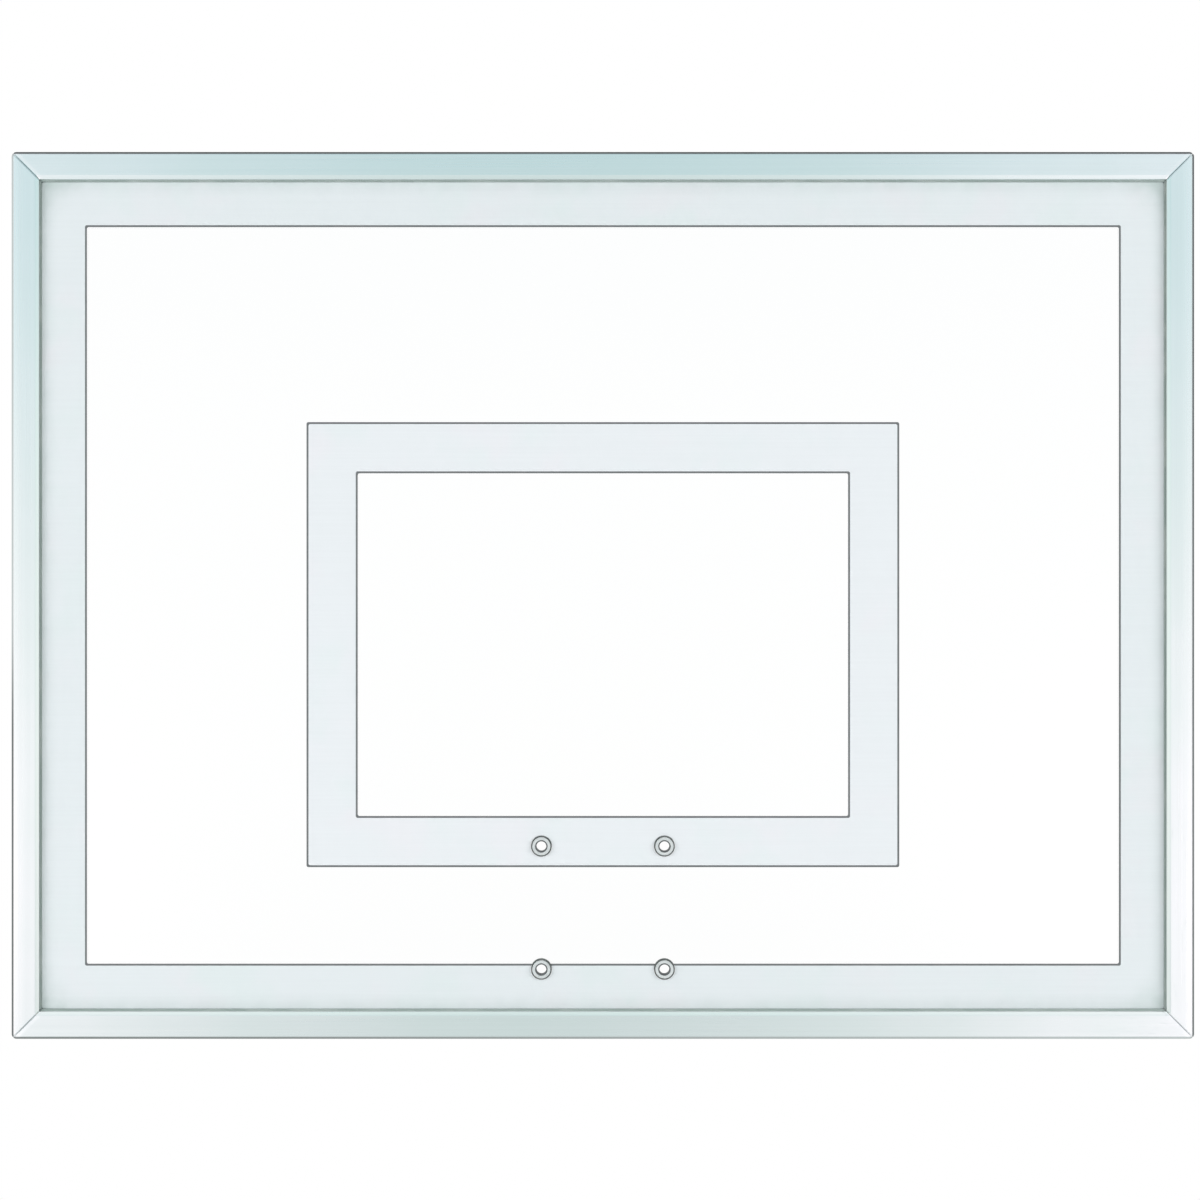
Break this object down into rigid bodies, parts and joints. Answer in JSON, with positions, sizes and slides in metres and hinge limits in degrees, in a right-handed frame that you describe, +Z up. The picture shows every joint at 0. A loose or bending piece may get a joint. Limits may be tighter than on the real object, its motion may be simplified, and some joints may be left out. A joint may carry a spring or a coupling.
{
  "type": "basketball backboard",
  "caption": "Rectangular clear glass basketball backboard in a mitred aluminium frame, with printed border and target, bushed goal holes and slotted rear corner brackets.",
  "frame": {"origin": "middle of the four support slots, on the rear face of the corner brackets", "axes": "+X to the right of someone facing the playing side, +Y backwards out of the rear face, +Z up"},
  "size_m": [1.2192, 0.0594, 0.9144],
  "materials": {
    "clear_glass": "polished clear tempered glass",
    "anodised_frame": "satin clear anodised extrusion",
    "gasket_rubber": "matt grey extruded rubber",
    "white_print": "fired white ceramic ink",
    "grey_print": "fired grey ceramic ink",
    "bushing_nylon": "natural moulded nylon",
    "seal_rubber": "matt black rubber",
    "sleeve_steel": "blackened turned steel",
    "cast_key": "as-cast aluminium",
    "bracket_steel": "grey powder coat on steel plate",
    "zinc_fastener": "bright zinc plate"
  },
  "bodies": {
    "root": {"glass_panel": "clear_glass", "frame_rail_top": "anodised_frame", "frame_rail_bottom": "anodised_frame", "frame_stile_left": "anodised_frame", "frame_stile_right": "anodised_frame", "glazing_gasket_top": "gasket_rubber", "glazing_gasket_bottom": "gasket_rubber", "glazing_gasket_left": "gasket_rubber", "glazing_gasket_right": "gasket_rubber", "border_band": "white_print", "target_band": "white_print", "border_outline": "grey_print", "target_outlines": "grey_print", "goal_sleeves": "sleeve_steel", "goal_bushings_front": "bushing_nylon", "goal_seals_front": "seal_rubber", "goal_bushings_rear": "bushing_nylon", "goal_seals_rear": "seal_rubber", "corner_key_top_left": "cast_key", "corner_bracket_top_left": "bracket_steel", "corner_key_top_right": "cast_key", "corner_bracket_top_right": "bracket_steel", "corner_key_bottom_left": "cast_key", "corner_bracket_bottom_left": "bracket_steel", "corner_key_bottom_right": "cast_key", "corner_bracket_bottom_right": "bracket_steel", "bracket_washers": "zinc_fastener", "bracket_bolts": "zinc_fastener"}
  },
  "joints": []
}
